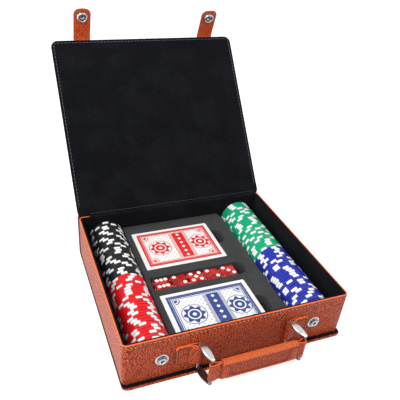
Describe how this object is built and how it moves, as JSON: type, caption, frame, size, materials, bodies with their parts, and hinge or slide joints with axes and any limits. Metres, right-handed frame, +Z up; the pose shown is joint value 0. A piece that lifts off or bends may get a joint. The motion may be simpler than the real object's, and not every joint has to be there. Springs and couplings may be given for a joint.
{
  "type": "poker set case",
  "caption": "Book-style leatherette case with a hinged lid, snap straps and a linked carrying handle, fitted with chips, card cartons and dice in a moulded insert.",
  "frame": {"origin": "centre of the tray's footprint on the underside of the base panel", "axes": "+Z up, +Y towards the hinge and spine, +X to the right seen from the handle side"},
  "size_m": [0.2278, 0.3557, 0.2486],
  "materials": {
    "leatherette": "pebbled, semi-gloss, tan",
    "lining": "short black nap",
    "board": "grey board",
    "flocked_insert": "flocked, dark grey",
    "polished_metal": "polished",
    "chip_black": "moulded, white edge spots",
    "chip_red": "moulded, white edge spots",
    "chip_green": "moulded, white edge spots",
    "chip_blue": "moulded, white edge spots",
    "carton_red": "coated card, red print",
    "carton_blue": "coated card, blue print",
    "card_stock": "satin",
    "dice_red": "clear red, white pips"
  },
  "bodies": {
    "case": {"base_cover": "leatherette", "base_board": "board", "base_lining": "lining", "spine_cover": "leatherette", "spine_board": "board", "spine_lining": "lining", "hinge_fold_cover": "leatherette", "hinge_fold_lining": "lining", "tray_cover": "leatherette", "tray_board": "board", "tray_lining": "lining", "insert": "flocked_insert", "snap_stud_left": "polished_metal", "snap_stud_right": "polished_metal", "handle_tab_left": "leatherette", "handle_tab_right": "leatherette"},
    "lid": {"lid_cover": "leatherette", "lid_board": "board", "lid_lining": "lining", "strap_root_left": "leatherette", "strap_root_right": "leatherette"},
    "strap_left": {"snap_strap_left": "leatherette", "snap_socket_left": "polished_metal", "snap_cap_left": "polished_metal"},
    "strap_right": {"snap_strap_right": "leatherette", "snap_socket_right": "polished_metal", "snap_cap_right": "polished_metal"},
    "link_left": {"link_left": "polished_metal"},
    "link_right": {"link_right": "polished_metal"},
    "grip": {"grip_strap": "leatherette", "grip_sleeve": "leatherette"},
    "chips_black": {"chips_black": "chip_black"},
    "chips_red": {"chips_red": "chip_red"},
    "chips_green": {"chips_green": "chip_green"},
    "chips_blue": {"chips_blue": "chip_blue"},
    "deck_red": {"carton_red": "carton_red", "carton_flap_red": "carton_red", "cards_red": "card_stock"},
    "deck_blue": {"carton_blue": "carton_blue", "carton_flap_blue": "carton_blue", "cards_blue": "card_stock"},
    "dice": {"die_1": "dice_red", "die_2": "dice_red", "die_3": "dice_red", "die_4": "dice_red", "die_5": "dice_red"}
  },
  "joints": [
    {"name": "lid_hinge", "type": "hinge", "parent": "case", "child": "lid", "pos_m": [0, 0.0993, 0.0537], "axis": [-1, 0, 0], "range_deg": [-129.8, 50.2]},
    {"name": "strap_left_fold", "type": "hinge", "parent": "lid", "child": "strap_left", "pos_m": [-0.0772, 0.22978, 0.21156], "axis": [-1, 0, 0], "range_deg": [-39.63, 85]},
    {"name": "strap_right_fold", "type": "hinge", "parent": "lid", "child": "strap_right", "pos_m": [0.0784, 0.22978, 0.21156], "axis": [-0.9951, -0.0727, -0.0667], "range_deg": [-30.77, 75]},
    {"name": "handle_swing", "type": "hinge", "parent": "case", "child": "link_left", "pos_m": [-0.0436, -0.1009, 0.02], "axis": [0, 0, 1], "range_deg": [-79.3, 56.7]},
    {"name": "right_link_swing", "type": "hinge", "parent": "case", "child": "link_right", "pos_m": [0.048, -0.1009, 0.02], "axis": [0, 0, 1], "range_deg": [-79.3, 56.7]},
    {"name": "grip_pivot", "type": "hinge", "parent": "link_left", "child": "grip", "pos_m": [-0.0396, -0.1209, 0.02], "axis": [0, 0, 1], "range_deg": [-56.7, 79.3]},
    {"name": "lift_chips_black", "type": "slide", "parent": "case", "child": "chips_black", "axis": [0, 0, 1], "range_m": [0, 0.06]},
    {"name": "lift_chips_red", "type": "slide", "parent": "case", "child": "chips_red", "axis": [0, 0, 1], "range_m": [0, 0.06]},
    {"name": "lift_chips_green", "type": "slide", "parent": "case", "child": "chips_green", "axis": [0, 0, 1], "range_m": [0, 0.06]},
    {"name": "lift_chips_blue", "type": "slide", "parent": "case", "child": "chips_blue", "axis": [0, 0, 1], "range_m": [0, 0.06]},
    {"name": "lift_deck_red", "type": "slide", "parent": "case", "child": "deck_red", "axis": [0, 0, 1], "range_m": [0, 0.05]},
    {"name": "lift_deck_blue", "type": "slide", "parent": "case", "child": "deck_blue", "axis": [0, 0, 1], "range_m": [0, 0.05]},
    {"name": "lift_dice", "type": "slide", "parent": "case", "child": "dice", "axis": [0, 0, 1], "range_m": [0, 0.05]}
  ],
  "couplings": [
    {"joint": "right_link_swing", "follows": "handle_swing", "ratio": 1},
    {"joint": "grip_pivot", "follows": "handle_swing", "ratio": -1}
  ]
}
